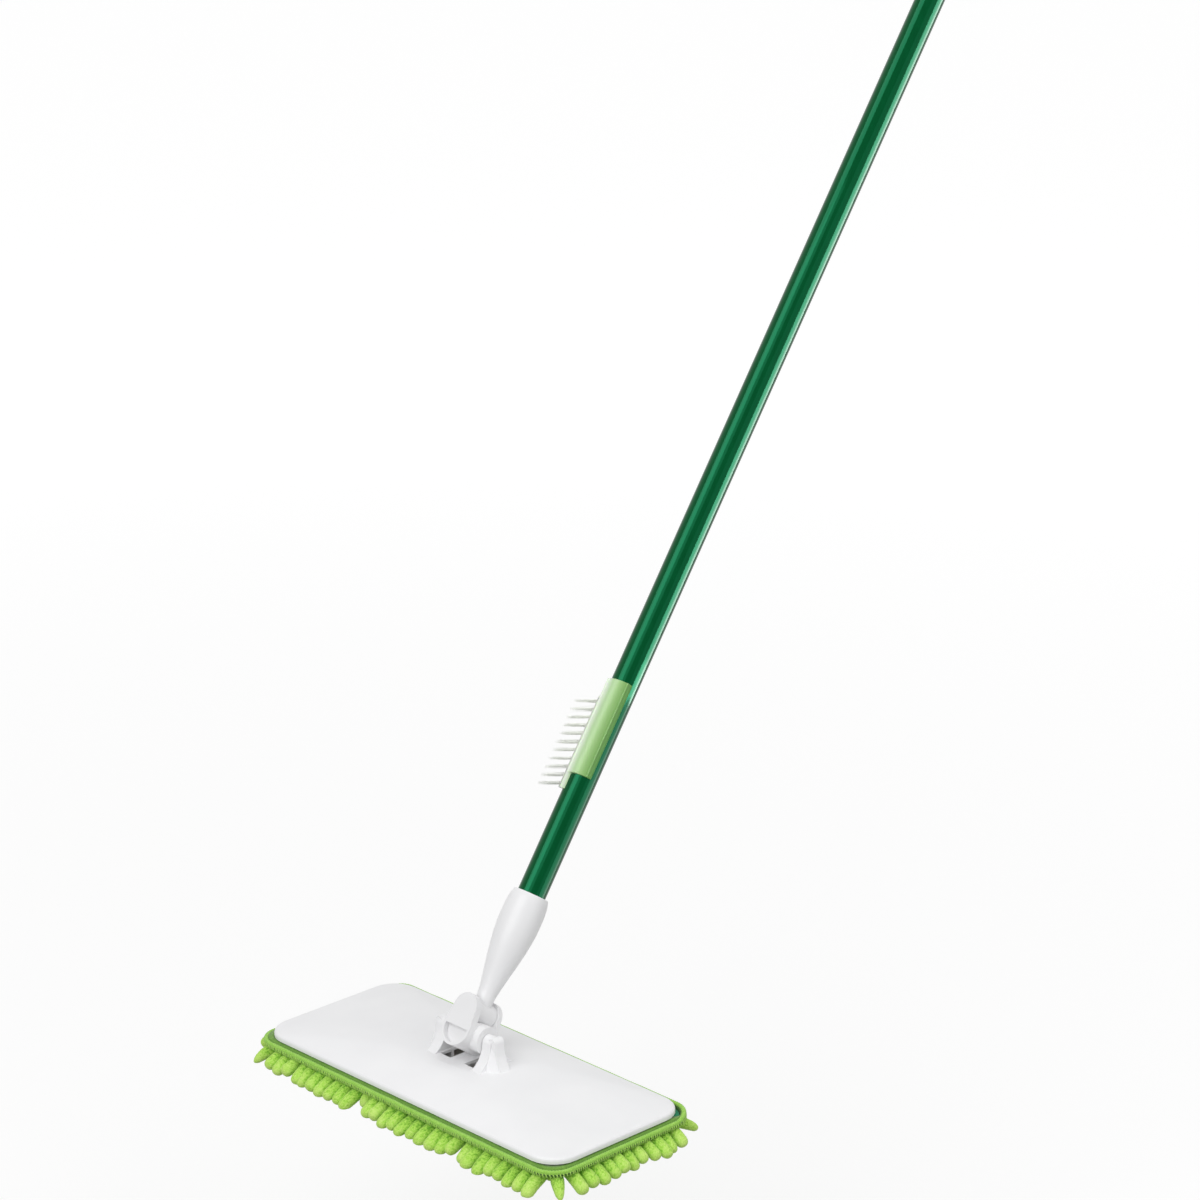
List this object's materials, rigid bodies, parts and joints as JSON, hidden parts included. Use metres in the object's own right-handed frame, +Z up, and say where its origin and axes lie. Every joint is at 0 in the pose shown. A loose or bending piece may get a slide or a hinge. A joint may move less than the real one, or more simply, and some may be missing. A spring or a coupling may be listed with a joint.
{
  "type": "dust mop",
  "caption": "Flat dust mop with a crowned white head plate on a green chenille pad, a two-axis swivel, and a green steel handle carrying a clip-on hand brush.",
  "frame": {"origin": "middle of the chenille pad where it rests on the floor, under the tilt axis", "axes": "+X along the head, +Y the way the handle leans, +Z up"},
  "size_m": [0.3506, 0.8374, 1.1443],
  "materials": {
    "white_moulding": "smooth satin moulded polypropylene",
    "panel": "plain moulded panel",
    "hook_tape": "closed hook-and-loop tape",
    "backing": "knitted loop fabric",
    "sponge": "open-cell foam",
    "binding": "overlocked knit binding",
    "chenille": "microfibre chenille",
    "swivel": "smooth moulded plastic",
    "socket": "smooth moulded plastic",
    "tip": "moulded screw tip",
    "tube": "glossy plastic-coated steel",
    "cap": "moulded hanger cap",
    "clip": "springy translucent plastic",
    "bristle": "fine nylon bristles"
  },
  "bodies": {
    "head": {"head_plate": "white_moulding", "base_panel": "panel", "front_hook_strip": "hook_tape", "middle_hook_strip": "hook_tape", "rear_hook_strip": "hook_tape", "pad_backing": "backing", "pad_sponge": "sponge", "pad_binding": "binding", "chenille_bed": "chenille", "front_fingers": "chenille", "rear_fingers": "chenille", "left_fingers": "chenille", "right_fingers": "chenille"},
    "yoke": {"swivel_yoke": "swivel"},
    "handle": {"handle_socket": "socket", "threaded_tip": "tip", "handle_tube": "tube", "end_cap": "cap"},
    "brush": {"brush_clip": "clip", "brush_bristles": "bristle"}
  },
  "joints": [
    {"name": "head_swing", "type": "hinge", "parent": "handle", "child": "yoke", "pos_m": [0, 0.00918, 0.06445], "axis": [0, 0.8241, -0.5664], "range_deg": [-70, 70]},
    {"name": "head_tilt", "type": "hinge", "parent": "yoke", "child": "head", "pos_m": [0, 0, 0.0511], "axis": [1, 0, 0], "range_deg": [-38.5, 58.5]},
    {"name": "brush_slide", "type": "slide", "parent": "handle", "child": "brush", "axis": [0, 0.5664, 0.8241], "range_m": [-0.078, 0.98]}
  ]
}
